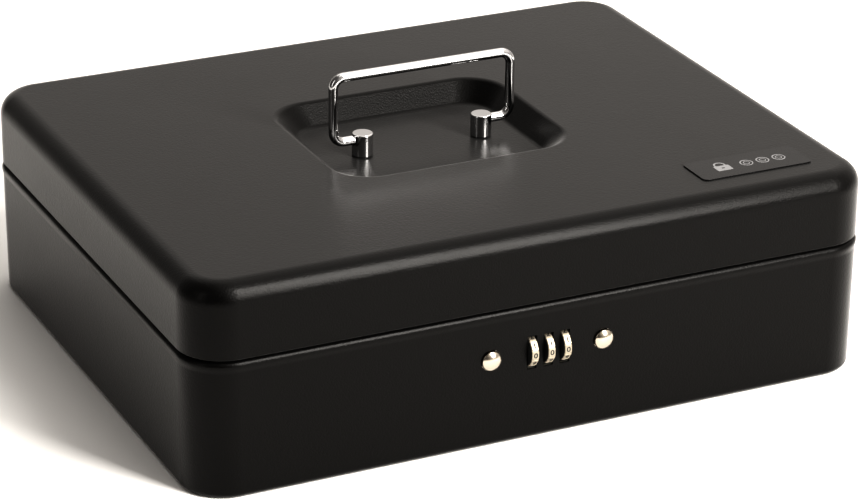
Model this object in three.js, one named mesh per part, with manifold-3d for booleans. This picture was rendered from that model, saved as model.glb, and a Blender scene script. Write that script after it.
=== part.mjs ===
// Steel cash box with a lift-up lid, a fold-down wire handle, a three-dial combination lock with
// two push buttons, and a lift-out coin tray. Millimetres, +Z up. The origin is the middle of the
// base's underside, +X runs along the front from left to right, and the front faces -Y.
import * as THREE from 'three';
import { mergeVertices } from 'three/addons/utils/BufferGeometryUtils.js';
import Module from 'manifold-3d';

const wasm = await Module();
wasm.setup();

// ---- Driving dimensions -------------------------------------------------------------------

const WIDTH = 300;
const DEPTH = 240;
const HEIGHT = 90;
const SHEET = 1.0; // thickness of the drawn steel sheet
const GAP = 0.3; // room left between two pieces that touch on the real object
const CORNER_RADIUS = 18.9; // vertical corners of both shells
const CORNER_STEPS = 6;

const FRONT = -DEPTH / 2;
const REAR = DEPTH / 2;

const base = {
  edgeRadius: 2.5, // between floor and walls
  taper: 0.3, // how far the foot of each wall stands in
  rimTop: 58.4,
  beadFoot: 53.5, // where the wall starts to swell into the rim bead
  beadProud: 0.45,
  beadRadius: 2.0,
  lipInset: 1.7, // outer face of the upstand that the lid closes over
  lipTop: 64.2,
};

const lid = {
  bottom: 59.3,
  edgeRadius: 8.9,
  recess: {
    y: 0.85, // its middle stands a little behind the lid's
    width: 106.2,
    depth: 87.8,
    drop: 8.8,
    run: 8.2, // how far its walls lean in
    cornerRadius: 18,
    softness: 3,
  },
};

const handleX = 0.9; // the handle's middle stands a little to the right
const post = { x: 27.5, radius: 4.5, top: 91.3, shankRadius: 2.5, riveted: 3.9 };
const bail = { wire: 2.0, legX: 40.8, rise: 28.6, axisZ: 88.6, bend: 4.8, footEnd: 26.2 };
const washer = { radius: 6, thickness: 1 };

const label = { x: 104.5, y: -92.7, width: 51, depth: 19.5, thickness: 0.5, cornerRadius: 2.5 };

const hinge = {
  x: 95,
  y: 122.5,
  z: 59.2,
  width: 40,
  knuckles: 5,
  knuckleGap: 0.4,
  knuckleRadius: 2.6,
  boreRadius: 1.5,
  pinRadius: 1.2,
  leaf: 1.0,
  leafHeight: 15,
};

const lock = {
  z: 38,
  dialX: 0.4, // the middle dial stands a little to the right
  dialPitch: 7.3,
  dialWidth: 3.1,
  dialApothem: 6.5,
  dialFaces: 10,
  axleY: -116.8,
  axleRadius: 0.8,
  slotWidth: 4.1,
  slotHeight: 14.3,
  clutchRadius: 1.9,
  clutchWidth: 2.5,
  clutchNotch: 0.5,
  buttonX: 25,
  buttonRadius: 4.1,
  buttonFace: 120.9, // how far the rim of a button's dome stands from the box's middle
};

const frame = { halfWidth: 14, sheet: 1.2, bottom: 29, top: 47, earBack: -111, margin: 1.6 };
const detent = { sheet: 0.6, foot: 24.6, back: -103.4, bend: -112, tip: -117.2, tipZ: 30.3 };
const screw = { radius: 1.6, headRadius: 3.1, headHeight: 2.1, tip: -118.5 };

const lockCase = {
  halfWidth: 34,
  bottom: 23,
  top: 54.2,
  wall: 1.2,
  front: -118.4,
  back: -101,
  screwX: 38.5,
};

const latch = {
  front: -108.0,
  thickness: 1.4,
  halfWidth: 31,
  bottom: 33,
  shoulder: 43,
  towerHalfWidth: 9,
  top: 52,
  noseHalfWidth: 4,
  noseTop: 51.2,
  tailRadius: 1.4, // the buttons' tails, riveted through the plate
};
const changer = {
  bottom: 43,
  top: 49,
  halfWidth: 5,
  tongueHalfWidth: 1.5,
  sheet: 1.0,
  travel: 6,
};
const keeper = {
  halfWidth: 10,
  sheet: 1.2,
  y: -115.9,
  bottom: 47,
  stepFoot: 65.8,
  stepHead: 69.2,
  top: 80.5,
};

const tray = {
  halfWidth: 145.5,
  halfDepth: 115.5,
  cornerRadius: 15,
  top: 56.5,
  plate: 1.8,
  skirtBottom: 38.3,
  wall: 1.6,
  wellFloor: 24,
  clipFloor: 41,
  notchHalfWidth: 50,
  notchBack: -95,
  margin: 6,
  rib: 3,
  rowSplit: -8,
  coinCups: 5,
  noteWells: 4,
};

const ledge = { foot: 24, top: 38, reach: 6.4, front: -88, back: 98 };

// ---- Materials ----------------------------------------------------------------------------

const finishes = {
  blackPaint: { color: 0x141414, roughness: 0.45, metalness: 0.0 },
  chrome: { color: 0xd8dadc, roughness: 0.08, metalness: 1.0 },
  nickel: { color: 0xcfc8b8, roughness: 0.22, metalness: 1.0 },
  zinc: { color: 0x9a9c9e, roughness: 0.42, metalness: 1.0 },
  springSteel: { color: 0x6f7276, roughness: 0.35, metalness: 1.0 },
  blackPlastic: { color: 0x17181a, roughness: 0.55, metalness: 0.0 },
  labelFilm: { color: 0x0c0c0d, roughness: 0.3, metalness: 0.0 },
};

// ---- Joining and cutting closed meshes -------------------------------------------------------

/** A closed three.js geometry as a solid that can be joined and cut. */
function toSolid(geometry) {
  const bare = geometry.clone();
  bare.deleteAttribute('normal');
  bare.deleteAttribute('uv');
  const merged = mergeVertices(bare, 1e-4);
  const vertProperties = new Float32Array(merged.attributes.position.array);
  const triVerts = new Uint32Array(merged.index.array);
  return new wasm.Manifold(new wasm.Mesh({ numProp: 3, vertProperties, triVerts }));
}

function toGeometry(solid) {
  const mesh = solid.getMesh();
  const geometry = new THREE.BufferGeometry();
  geometry.setAttribute('position', new THREE.BufferAttribute(mesh.vertProperties, 3));
  geometry.setIndex(new THREE.BufferAttribute(mesh.triVerts, 1));
  geometry.computeVertexNormals();
  return geometry;
}

function join(first, ...others) {
  return toGeometry(others.reduce((solid, g) => solid.add(toSolid(g)), toSolid(first)));
}

function cut(first, ...tools) {
  return toGeometry(tools.reduce((solid, g) => solid.subtract(toSolid(g)), toSolid(first)));
}

// ---- Shapes that several pieces share --------------------------------------------------------

/** A block between two opposite corners. */
function block([x0, y0, z0], [x1, y1, z1]) {
  const geometry = new THREE.BoxGeometry(x1 - x0, y1 - y0, z1 - z0);
  return geometry.translate((x0 + x1) / 2, (y0 + y1) / 2, (z0 + z1) / 2);
}

/** A round bar of the given radius and length, centred on the origin, along 'x', 'y' or 'z'. */
function bar(radius, length, along, sides = 24) {
  const geometry = new THREE.CylinderGeometry(radius, radius, length, sides);
  if (along === 'x') geometry.rotateZ(-Math.PI / 2);
  if (along === 'z') geometry.rotateX(Math.PI / 2);
  return geometry;
}

/** A shape drawn in (y, z) and extruded along X from x0 to x1. */
function alongX(shape, x0, x1, curveSegments = 8) {
  const geometry = new THREE.ExtrudeGeometry(shape, {
    depth: x1 - x0,
    bevelEnabled: false,
    curveSegments,
  });
  // The shape's x becomes Y, its y becomes Z and the extrusion becomes X.
  const axes = new THREE.Matrix4().makeBasis(
    new THREE.Vector3(0, 1, 0),
    new THREE.Vector3(0, 0, 1),
    new THREE.Vector3(1, 0, 0),
  );
  return geometry.applyMatrix4(axes).translate(x0, 0, 0);
}

/** A shape drawn in (x, y) and extruded up from z0 to z1. */
function upright(shape, z0, z1, curveSegments = 4) {
  const geometry = new THREE.ExtrudeGeometry(shape, {
    depth: z1 - z0,
    bevelEnabled: false,
    curveSegments,
  });
  return geometry.translate(0, 0, z0);
}

/** A turned piece: its profile is a list of [radius, height] from the bottom up, about Z. */
function turned(profile, segments = 24) {
  const points = profile.map(([radius, height]) => new THREE.Vector2(radius, height));
  return new THREE.LatheGeometry(points, segments).rotateX(Math.PI / 2);
}

function polygon(points) {
  return new THREE.Shape(points.map(([x, y]) => new THREE.Vector2(x, y)));
}

function roundedRectangle(x0, y0, x1, y1, radius) {
  const quarter = Math.PI / 2;
  const shape = new THREE.Shape();
  shape.absarc(x1 - radius, y0 + radius, radius, -quarter, 0);
  shape.absarc(x1 - radius, y1 - radius, radius, 0, quarter);
  shape.absarc(x0 + radius, y1 - radius, radius, quarter, 2 * quarter);
  shape.absarc(x0 + radius, y0 + radius, radius, 2 * quarter, 3 * quarter);
  shape.closePath();
  return shape;
}

/** One level line of a drawn shell: a rounded rectangle as a loop of points, seen from above. */
function levelLine({ halfX, halfY, radius, z, y = 0 }) {
  const points = [];
  for (let corner = 0; corner < 4; corner += 1) {
    const signX = corner === 0 || corner === 3 ? 1 : -1;
    const signY = corner < 2 ? 1 : -1;
    for (let step = 0; step <= CORNER_STEPS; step += 1) {
      const angle = (corner + step / CORNER_STEPS) * (Math.PI / 2);
      points.push([
        signX * (halfX - radius) + radius * Math.cos(angle),
        y + signY * (halfY - radius) + radius * Math.sin(angle),
        z,
      ]);
    }
  }
  return points;
}

/**
 * A pan of drawn sheet: its section is followed once round, from the middle of its lower face,
 * over its rim, to the middle of its upper face. Each entry is one level line.
 */
function drawnPan(section) {
  const rings = section.map(levelLine);
  const count = rings[0].length;
  const positions = rings.flat(2);
  const index = [];
  for (let ring = 0; ring + 1 < rings.length; ring += 1) {
    for (let i = 0; i < count; i += 1) {
      const next = (i + 1) % count;
      const [a, b] = [ring * count + i, ring * count + next];
      const [c, d] = [a + count, b + count];
      index.push(a, b, d, a, d, c);
    }
  }
  const lowerMiddle = positions.length / 3;
  positions.push(0, 0, section[0].z, 0, 0, section[section.length - 1].z);
  const lastRing = (rings.length - 1) * count;
  for (let i = 0; i < count; i += 1) {
    const next = (i + 1) % count;
    index.push(lowerMiddle, next, i, lowerMiddle + 1, lastRing + i, lastRing + next);
  }
  const geometry = new THREE.BufferGeometry();
  geometry.setAttribute('position', new THREE.Float32BufferAttribute(positions, 3));
  geometry.setIndex(index);
  geometry.computeVertexNormals();
  return geometry;
}

/** The level line that stands a given distance inside the box's outline. */
function inset(distance, z) {
  return {
    halfX: WIDTH / 2 - distance,
    halfY: DEPTH / 2 - distance,
    radius: Math.max(CORNER_RADIUS - distance, 1),
    z,
  };
}

/** Points [distance, z] on an arc, for a section; angles in degrees. */
function arc(distance, z, radius, from, to, steps) {
  return Array.from({ length: steps + 1 }, (_, i) => {
    const angle = THREE.MathUtils.degToRad(from + ((to - from) * i) / steps);
    return [distance + radius * Math.cos(angle), z + radius * Math.sin(angle)];
  });
}

// ---- Shells -------------------------------------------------------------------------------

function baseShell() {
  const { edgeRadius, taper, rimTop, beadFoot, beadProud, beadRadius, lipInset, lipTop } = base;
  const foot = taper + edgeRadius;
  const bead = beadRadius - beadProud;
  const outside = [
    ...arc(foot, edgeRadius, edgeRadius, 270, 180, 4),
    [0, beadFoot],
    [-beadProud * 0.5, (beadFoot + rimTop - beadRadius) / 2],
    ...arc(bead, rimTop - beadRadius, beadRadius, 180, 90, 4),
    [lipInset, rimTop],
    [lipInset, lipTop - 0.3],
    [lipInset + 0.3, lipTop],
  ];
  const inside = [
    [lipInset + SHEET - 0.3, lipTop],
    [lipInset + SHEET, lipTop - 0.3],
    [lipInset + SHEET, rimTop - SHEET],
    ...arc(bead, rimTop - beadRadius, beadRadius - SHEET, 90, 180, 3),
    [SHEET, beadFoot],
    ...arc(foot, edgeRadius, edgeRadius - SHEET, 180, 270, 3),
  ];
  const pan = drawnPan([...outside, ...inside].map(([d, z]) => inset(d, z)));
  return cut(pan, ...dialSlots(), ...buttonHoles(), ...baseHingeNotches());
}

function dialSlots() {
  const half = lock.slotWidth / 2;
  return dialPositions().map((x) => {
    const bottom = lock.z - lock.slotHeight / 2;
    const top = lock.z + lock.slotHeight / 2;
    return block([x - half, FRONT - 5, bottom], [x + half, FRONT + 3, top]);
  });
}

function dialPositions() {
  return [-1, 0, 1].map((step) => lock.dialX + step * lock.dialPitch);
}

function buttonHoles() {
  return [-lock.buttonX, lock.buttonX].map((x) =>
    bar(lock.buttonRadius + 0.35, 8, 'y', 32).translate(x, FRONT, lock.z),
  );
}

/** The rim is cut away where a hinge leaf leaves the base. */
function baseHingeNotches() {
  const half = hinge.width / 2 + 0.4;
  const bottom = hinge.z - hinge.knuckleRadius - 0.4;
  return [-hinge.x, hinge.x].map((x) =>
    block([x - half, REAR - 4, bottom], [x + half, REAR + 4, base.lipTop + 1]),
  );
}

function lidShell() {
  const { bottom, edgeRadius, recess } = lid;
  const shoulder = HEIGHT - edgeRadius;
  const inner = [
    ...recessSection(SHEET),
    ...arc(edgeRadius, shoulder, edgeRadius - SHEET, 90, 180, 7).map(([d, z]) => inset(d, z)),
    inset(SHEET, bottom),
  ];
  const outer = [
    inset(0, bottom),
    ...arc(edgeRadius, shoulder, edgeRadius, 180, 90, 7).map(([d, z]) => inset(d, z)),
    ...recessSection(0).reverse(),
  ];
  const pan = drawnPan([...inner, ...outer]);
  const shankHoles = [-post.x, post.x].map((x) =>
    bar(post.shankRadius + GAP, 6, 'z').translate(handleX + x, 0, HEIGHT - recess.drop),
  );
  return cut(pan, ...shankHoles, ...lidHingeNotches());
}

/** The stamped recess from its floor out to the lid's flat top, on a face `below` the outside. */
function recessSection(below) {
  const { width, depth, drop, run, cornerRadius, softness } = lid.recess;
  const slope = Math.atan2(drop, run);
  const blend = softness * Math.tan(slope / 2);
  const foot = softness + below;
  const brow = softness - below;
  const cornerGrowth = 0.6; // the corners tighten more slowly than the walls close in
  const steps = 3;
  const profile = [];
  for (let i = 0; i <= steps; i += 1) {
    const angle = (slope * i) / steps;
    profile.push([
      -run - blend + foot * Math.sin(angle),
      -drop - below + foot * (1 - Math.cos(angle)),
    ]);
  }
  for (let i = steps; i >= 0; i -= 1) {
    const angle = (slope * i) / steps;
    profile.push([blend - brow * Math.sin(angle), -below - brow * (1 - Math.cos(angle))]);
  }
  return profile.map(([out, z]) => ({
    halfX: width / 2 + out,
    halfY: depth / 2 + out,
    radius: cornerRadius + out * cornerGrowth,
    y: lid.recess.y,
    z: HEIGHT + z,
  }));
}

function lidHingeNotches() {
  const half = hinge.width / 2 + 0.4;
  const top = hinge.z + hinge.knuckleRadius + 0.4;
  return [-hinge.x, hinge.x].map((x) =>
    block([x - half, REAR - 3, lid.bottom - 2], [x + half, REAR + 3, top]),
  );
}

// ---- Hinges -------------------------------------------------------------------------------

/** The outline of one rolled knuckle with its strap, about the hinge axis, in (y, z). */
function knuckleShape(up) {
  const { knuckleRadius, boreRadius, leaf } = hinge;
  const inside = REAR - SHEET - GAP - hinge.y;
  const turn = Math.asin(1 - leaf / knuckleRadius);
  const shape = new THREE.Shape();
  shape.moveTo(inside - leaf, up * knuckleRadius);
  shape.lineTo(0, up * knuckleRadius);
  shape.absarc(0, 0, knuckleRadius, (up * Math.PI) / 2, Math.PI - up * turn, up > 0);
  shape.lineTo(inside - leaf, up * (knuckleRadius - leaf));
  shape.closePath();
  const bore = new THREE.Path();
  bore.absarc(0, 0, boreRadius, 0, 2 * Math.PI);
  shape.holes.push(bore);
  return shape;
}

/** One hinge leaf about the hinge axis: `up` is 1 on the lid and -1 on the base. */
function hingeLeaf(up) {
  const { width, knuckles, knuckleGap, knuckleRadius, leaf, leafHeight } = hinge;
  const pitch = (width + knuckleGap) / knuckles;
  const inside = REAR - SHEET - GAP - hinge.y;
  const near = knuckleRadius - leaf;
  const [z0, z1] = up > 0 ? [near, near + leafHeight] : [-near - leafHeight, -near];
  const plate = block([-width / 2, inside - leaf, z0], [width / 2, inside, z1]);
  const rolls = [];
  for (let i = up > 0 ? 1 : 0; i < knuckles; i += 2) {
    const x0 = -width / 2 + i * pitch;
    rolls.push(alongX(knuckleShape(up), x0, x0 + pitch - knuckleGap, 11));
  }
  return join(plate, ...rolls);
}

function hingePin() {
  const half = hinge.width / 2;
  const headRadius = hinge.pinRadius + 0.5;
  const overhang = 0.9;
  const chamfer = 0.35;
  return turned([
    [0, -half - overhang],
    [headRadius, -half - overhang],
    [headRadius, -half - GAP],
    [hinge.pinRadius, -half - GAP],
    [hinge.pinRadius, half + overhang - chamfer],
    [hinge.pinRadius - chamfer, half + overhang],
    [0, half + overhang],
  ], 16).rotateY(Math.PI / 2);
}

// ---- Handle -------------------------------------------------------------------------------

/** A flat path drawn in (x, z), read as a curve in space. */
class UprightCurve extends THREE.Curve {
  constructor(path) {
    super();
    this.path = path;
  }

  getPoint(t, target = new THREE.Vector3()) {
    const point = this.path.getPointAt(t);
    return target.set(point.x, 0, point.y);
  }
}

function ring(radius, sides) {
  const points = Array.from({ length: sides }, (_, i) => {
    const angle = (2 * Math.PI * i) / sides;
    return [radius * Math.cos(angle), radius * Math.sin(angle)];
  });
  return polygon(points);
}

/** The wire bail about its swing axis: feet turned inwards, two legs and the grip. */
function handleBail() {
  const { wire, legX, rise, bend, footEnd } = bail;
  const side = legX - bend;
  const path = new THREE.Path();
  path.moveTo(-footEnd, 0);
  path.lineTo(-side, 0);
  path.absarc(-side, bend, bend, -Math.PI / 2, -Math.PI, true);
  path.absarc(-side, rise - bend, bend, Math.PI, Math.PI / 2, true);
  path.absarc(side, rise - bend, bend, Math.PI / 2, 0, true);
  path.absarc(side, bend, bend, 0, -Math.PI / 2, true);
  path.lineTo(footEnd, 0);
  return new THREE.ExtrudeGeometry(ring(wire, 10), {
    steps: 64,
    bevelEnabled: false,
    extrudePath: new UprightCurve(path),
  });
}

/** A handle post about the lid's top plane at its own axis; `side` is -1 left and 1 right. */
function handlePost(side) {
  const { radius, top, shankRadius, riveted } = post;
  const floor = HEIGHT - lid.recess.drop;
  const underside = floor - SHEET - GAP - washer.thickness - GAP;
  const solid = turned([
    [0, underside - 1],
    [riveted - 0.5, underside - 1],
    [riveted, underside - 0.5],
    [riveted, underside],
    [shankRadius, underside],
    [shankRadius, floor + GAP],
    [radius, floor + GAP],
    [radius, top - 0.4],
    [radius - 0.4, top],
    [0, top],
  ], 28);
  const blindEnd = bail.footEnd - 0.6 - post.x;
  const depth = radius + 1 - blindEnd;
  const hole = bar(bail.wire + GAP, depth, 'x').translate(blindEnd + depth / 2, 0, bail.axisZ);
  if (side < 0) hole.rotateZ(Math.PI);
  return cut(solid, hole);
}

function postWasher() {
  const bottom = HEIGHT - lid.recess.drop - SHEET - GAP - washer.thickness;
  const hole = post.shankRadius + GAP;
  return turned([
    [hole, bottom],
    [washer.radius, bottom],
    [washer.radius, bottom + washer.thickness],
    [hole, bottom + washer.thickness],
    [hole, bottom],
  ]);
}

function labelPlate() {
  const { width, depth, thickness, cornerRadius } = label;
  const outline = roundedRectangle(-width / 2, -depth / 2, width / 2, depth / 2, cornerRadius);
  return upright(outline, 0, thickness);
}

// ---- Lock ---------------------------------------------------------------------------------

/** A number wheel about its own axis along X: ten flats with a groove at each corner. */
function dial() {
  const { dialApothem, dialFaces, dialWidth, axleRadius } = lock;
  const half = Math.PI / dialFaces;
  const corner = dialApothem / Math.cos(half);
  const groove = { halfAngle: 0.05, depth: 0.4 };
  const points = [];
  for (let face = 0; face < dialFaces; face += 1) {
    // The corner after each face's middle; the first face's middle looks along -Y.
    const angle = Math.PI + 2 * half * face + half;
    const polar = (radius, turn) => [radius * Math.cos(turn), radius * Math.sin(turn)];
    points.push(polar(corner - 0.1, angle - groove.halfAngle));
    points.push(polar(corner - groove.depth, angle));
    points.push(polar(corner - 0.1, angle + groove.halfAngle));
  }
  const shape = polygon(points);
  const bore = new THREE.Path();
  bore.absarc(0, 0, axleRadius + GAP, 0, 2 * Math.PI);
  shape.holes.push(bore);
  return alongX(shape, -dialWidth / 2, dialWidth / 2);
}

/** The notched clutch disc beside each number wheel. */
function dialClutch() {
  const { clutchRadius, clutchWidth, clutchNotch, dialWidth } = lock;
  const notch = 0.3; // half its angle
  const shape = new THREE.Shape();
  shape.absarc(0, 0, clutchRadius, notch, 2 * Math.PI - notch);
  shape.lineTo(clutchRadius - clutchNotch, 0);
  shape.closePath();
  const bore = new THREE.Path();
  bore.absarc(0, 0, lock.axleRadius + GAP, 0, 2 * Math.PI);
  shape.holes.push(bore);
  const start = dialWidth / 2 + GAP;
  return alongX(shape, start, start + clutchWidth, 8);
}

/** The plate behind the front wall whose two ears carry the dial axle. */
function dialFrame() {
  const { front } = lockCase;
  const { halfWidth, sheet, bottom, top, earBack, margin } = frame;
  const inside = halfWidth - sheet;
  const plate = block([-halfWidth, front, bottom], [halfWidth, front + 1, top]);
  const window = block(
    [-inside + GAP, front - 1, bottom + margin],
    [inside - GAP, front + 2, top - margin],
  );
  const earHalfHeight = 4.5;
  const ears = [-1, 1].map((side) => {
    const [x0, x1] = side < 0 ? [-halfWidth, -inside] : [inside, halfWidth];
    return block([x0, front, lock.z - earHalfHeight], [x1, earBack, lock.z + earHalfHeight]);
  });
  const axleHole = bar(lock.axleRadius + GAP, 40, 'x').translate(0, lock.axleY, lock.z);
  return cut(join(plate, ...ears), window, axleHole);
}

function dialAxle() {
  const { axleRadius } = lock;
  const headRadius = axleRadius + 0.6;
  const headThickness = 1.2;
  const under = frame.halfWidth + GAP;
  const end = frame.halfWidth + 1.9;
  const chamfer = 0.3;
  return turned([
    [0, -under - headThickness],
    [headRadius, -under - headThickness],
    [headRadius, -under],
    [axleRadius, -under],
    [axleRadius, end - chamfer],
    [axleRadius - chamfer, end],
    [0, end],
  ], 16).rotateY(Math.PI / 2);
}

/** The ring clip that keeps the dial axle from sliding out of the frame. */
function axleClip() {
  const ringShape = new THREE.Shape();
  ringShape.absarc(0, 0, lock.clutchRadius, 0, 2 * Math.PI);
  const bore = new THREE.Path();
  bore.absarc(0, 0, lock.axleRadius + GAP / 2, 0, 2 * Math.PI);
  ringShape.holes.push(bore);
  const start = frame.halfWidth + GAP;
  return alongX(ringShape, start, start + 0.6);
}

/** A folded comb of spring steel with one finger under each number wheel. */
function detentSpring() {
  const { sheet, foot, back, bend, tip, tipZ } = detent;
  const top = foot + sheet;
  const strip = block([-11, bend, foot], [11, back, top]);
  const heel = tip + 1.6;
  const finger = polygon([
    [bend + sheet, top - 0.1],
    [bend + 2 * sheet, top - 0.1],
    [heel, tipZ],
    [tip, tipZ],
    [tip, tipZ - sheet],
    [heel - 0.3, tipZ - sheet],
  ]);
  const halfWidth = 1.4;
  const fingers = dialPositions().map((x) => alongX(finger, x - halfWidth, x + halfWidth));
  return join(strip, ...fingers);
}

/** The open-fronted steel box behind the front wall that holds the lock's works. */
function lockCaseShell() {
  const { halfWidth, bottom, top, wall, front, back, screwX } = lockCase;
  const body = block([-halfWidth, front, bottom], [halfWidth, back, top]);
  const room = block(
    [-halfWidth + wall, front - 1, bottom + wall],
    [halfWidth - wall, back - wall, top - wall],
  );
  const keeperRoom = 1.5; // on each side of the lid's keeper
  const keeperSlot = block(
    [-keeper.halfWidth - keeperRoom, keeper.y - 2.1, top - 3],
    [keeper.halfWidth + keeperRoom, keeper.y + keeper.sheet + 1.9, top + 1],
  );
  const tongue = changer.tongueHalfWidth + 0.4;
  const leverSlot = block(
    [-tongue, back - 3, changer.bottom + 1.2],
    [tongue + changer.travel + 0.5, back + 1, changer.top - 1.2],
  );
  const earHalfHeight = 8;
  const earTip = screwX + 5.5;
  const ears = [-1, 1].map((side) => {
    const root = halfWidth - 0.5;
    const [x0, x1] = side < 0 ? [-earTip, -root] : [root, earTip];
    return block([x0, front, lock.z - earHalfHeight], [x1, front + wall, lock.z + earHalfHeight]);
  });
  const screwHoles = [-screwX, screwX].map((x) =>
    bar(screw.radius + GAP, 6, 'y').translate(x, front, lock.z),
  );
  return cut(join(cut(body, room), ...ears), keeperSlot, leverSlot, ...screwHoles);
}

/** A pan-head screw about its own axis, driven towards the front wall (-Y). */
function lockScrew() {
  const { radius, headRadius, headHeight, tip } = screw;
  const under = -(lockCase.front + lockCase.wall + GAP);
  const crown = under - headHeight;
  const recess = { radius: 1.0, floor: under - 1.2 };
  return turned([
    [0, recess.floor],
    [recess.radius, recess.floor],
    [recess.radius, crown],
    [headRadius - 0.7, crown + 0.2],
    [headRadius, under - 1.0],
    [headRadius, under],
    [radius, under],
    [radius, -tip - 0.3],
    [radius - 0.7, -tip],
    [0, -tip],
  ], 18).rotateX(Math.PI / 2);
}

/** A push button about its own axis: domed head, retaining flange, stem and riveted tail. */
function pushButton() {
  const { buttonRadius, buttonFace } = lock;
  const flange = { radius: 5.2, back: 117.2, front: 118.1 };
  const stemRadius = 2.2;
  const { tailRadius } = latch;
  const rivetRadius = 2.0;
  const dome = 1.5;
  const domeSteps = 5;
  const sphere = (buttonRadius ** 2 + dome ** 2) / (2 * dome);
  const crown = Array.from({ length: domeSteps + 1 }, (_, i) => {
    const radius = (buttonRadius * (domeSteps - i)) / domeSteps;
    return [radius, buttonFace + Math.sqrt(sphere ** 2 - radius ** 2) - (sphere - dome)];
  });
  const plateBack = -(latch.front + latch.thickness);
  return turned([
    [0, plateBack - 1.1],
    [rivetRadius - 0.3, plateBack - 1.1],
    [rivetRadius, plateBack - 0.8],
    [rivetRadius, plateBack - GAP],
    [tailRadius, plateBack - GAP],
    [tailRadius, -latch.front + GAP],
    [stemRadius, -latch.front + GAP],
    [stemRadius, flange.back],
    [flange.radius, flange.back],
    [flange.radius, flange.front],
    [buttonRadius, flange.front],
    ...crown,
  ], 20).rotateX(Math.PI / 2);
}

/** The plate that both buttons push: a nose for the keeper and a finger for each clutch. */
function latchPlate() {
  const { front, thickness, halfWidth, bottom, shoulder, top, noseTop } = latch;
  const back = front + thickness;
  const plate = block([-halfWidth, front, bottom], [halfWidth, back, shoulder]);
  const tower = block(
    [-latch.towerHalfWidth, front, shoulder - 1],
    [latch.towerHalfWidth, back, top],
  );
  const noseThickness = 2;
  const noseTip = keeper.y + keeper.sheet + 0.35;
  const nose = polygon([
    [back - 0.5, noseTop - noseThickness],
    [back - 0.5, noseTop],
    [noseTip + 1.25, noseTop],
    [noseTip, noseTop - noseThickness / 2],
    [noseTip, noseTop - noseThickness],
  ]);
  const fingerTip = lock.axleY + lock.clutchRadius + 0.4;
  const finger = { halfWidth: 0.7, halfHeight: 0.8 };
  const clutchMiddle = (lock.dialWidth + lock.clutchWidth) / 2 + GAP;
  const fingers = dialPositions().map((x) => {
    const middle = x + clutchMiddle;
    return block(
      [middle - finger.halfWidth, fingerTip, lock.z - finger.halfHeight],
      [middle + finger.halfWidth, front + 0.5, lock.z + finger.halfHeight],
    );
  });
  const tailHoles = [-lock.buttonX, lock.buttonX].map((x) =>
    bar(latch.tailRadius + GAP, 6, 'y').translate(x, front, lock.z),
  );
  const noseBar = alongX(nose, -latch.noseHalfWidth, latch.noseHalfWidth);
  return cut(join(plate, tower, noseBar, ...fingers), ...tailHoles);
}

class Helix extends THREE.Curve {
  constructor(radius, length, turns) {
    super();
    Object.assign(this, { radius, length, turns });
  }

  getPoint(t, target = new THREE.Vector3()) {
    const angle = 2 * Math.PI * this.turns * t;
    const { radius, length } = this;
    return target.set(radius * Math.cos(angle), length * t, radius * Math.sin(angle));
  }
}

/** A return spring about its own axis along Y, between the latch plate and the case's back. */
function buttonSpring() {
  const wire = 0.35;
  const start = latch.front + latch.thickness + GAP + wire;
  const end = lockCase.back - lockCase.wall - GAP - wire;
  const coil = new THREE.ExtrudeGeometry(ring(wire, 5), {
    steps: 36,
    bevelEnabled: false,
    extrudePath: new Helix(3.2, end - start, 2.75),
  });
  return coil.translate(0, start, 0);
}

/** The code-change lever on the back of the case: a tongue through its slot and a thumb tab. */
function changeLever() {
  const { back, wall } = lockCase;
  const { bottom, top, halfWidth, tongueHalfWidth, sheet } = changer;
  const face = back + GAP;
  const margin = 1.6;
  const slide = block([-halfWidth, face, bottom], [halfWidth, face + sheet, top]);
  const tongue = block(
    [-tongueHalfWidth, back - wall - 0.5, bottom + margin],
    [tongueHalfWidth, face + sheet / 2, top - margin],
  );
  const tab = block([-2.4, face + sheet / 2, bottom + 1.2], [-1.0, back + 4.2, top - 1.2]);
  return join(slide, tongue, tab);
}

/** The keeper on the lid's front wall: a hook plate that steps in past the rim's upstand. */
function lidKeeper() {
  const { halfWidth, sheet, y, bottom, stepFoot, stepHead, top } = keeper;
  const wallFace = FRONT + SHEET + 0.6;
  const jog = 0.5; // keeps the sheet's thickness through the slanted step
  const profile = polygon([
    [wallFace, top],
    [wallFace, stepHead],
    [y, stepFoot],
    [y, bottom],
    [y + sheet, bottom],
    [y + sheet, stepFoot + jog],
    [wallFace + sheet, stepHead + jog],
    [wallFace + sheet, top],
  ]);
  const window = block([-5.5, y - 2, 48.5], [5.5, y + 4, 52.4]);
  const chamfers = [-1, 1].map((side) => {
    const corner = bar(2.2, 6, 'y', 4).rotateY(Math.PI / 4);
    return corner.translate(side * halfWidth, y, bottom);
  });
  return cut(alongX(profile, -halfWidth, halfWidth), window, ...chamfers);
}

// ---- Coin tray and its ledges -------------------------------------------------------------

/** [left, right] of each of `count` equal wells across the tray. */
function wellSpans(count) {
  const left = -tray.halfWidth + tray.margin;
  const width = (2 * -left - (count - 1) * tray.rib) / count;
  return Array.from({ length: count }, (_, i) => {
    const x0 = left + i * (width + tray.rib);
    return [x0, x0 + width];
  });
}

/** A coin cup whose floor is scooped, so that coins slide up and out towards either end. */
function coinCup([x0, x1], grow) {
  const y0 = tray.notchBack + tray.margin;
  const y1 = tray.rowSplit - tray.rib / 2;
  const middle = (y0 + y1) / 2;
  const halfDepth = (y1 - y0) / 2 + grow;
  const spring = tray.top - 4; // height where the scoop starts
  const top = grow > 0 ? tray.top - 0.5 : tray.top + 1;
  const shape = new THREE.Shape();
  shape.moveTo(middle + halfDepth, top);
  shape.lineTo(middle - halfDepth, top);
  shape.absellipse(middle, spring, halfDepth, spring - tray.wellFloor + grow, Math.PI, 2 * Math.PI);
  shape.closePath();
  return alongX(shape, x0 - grow, x1 + grow, 14);
}

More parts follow.
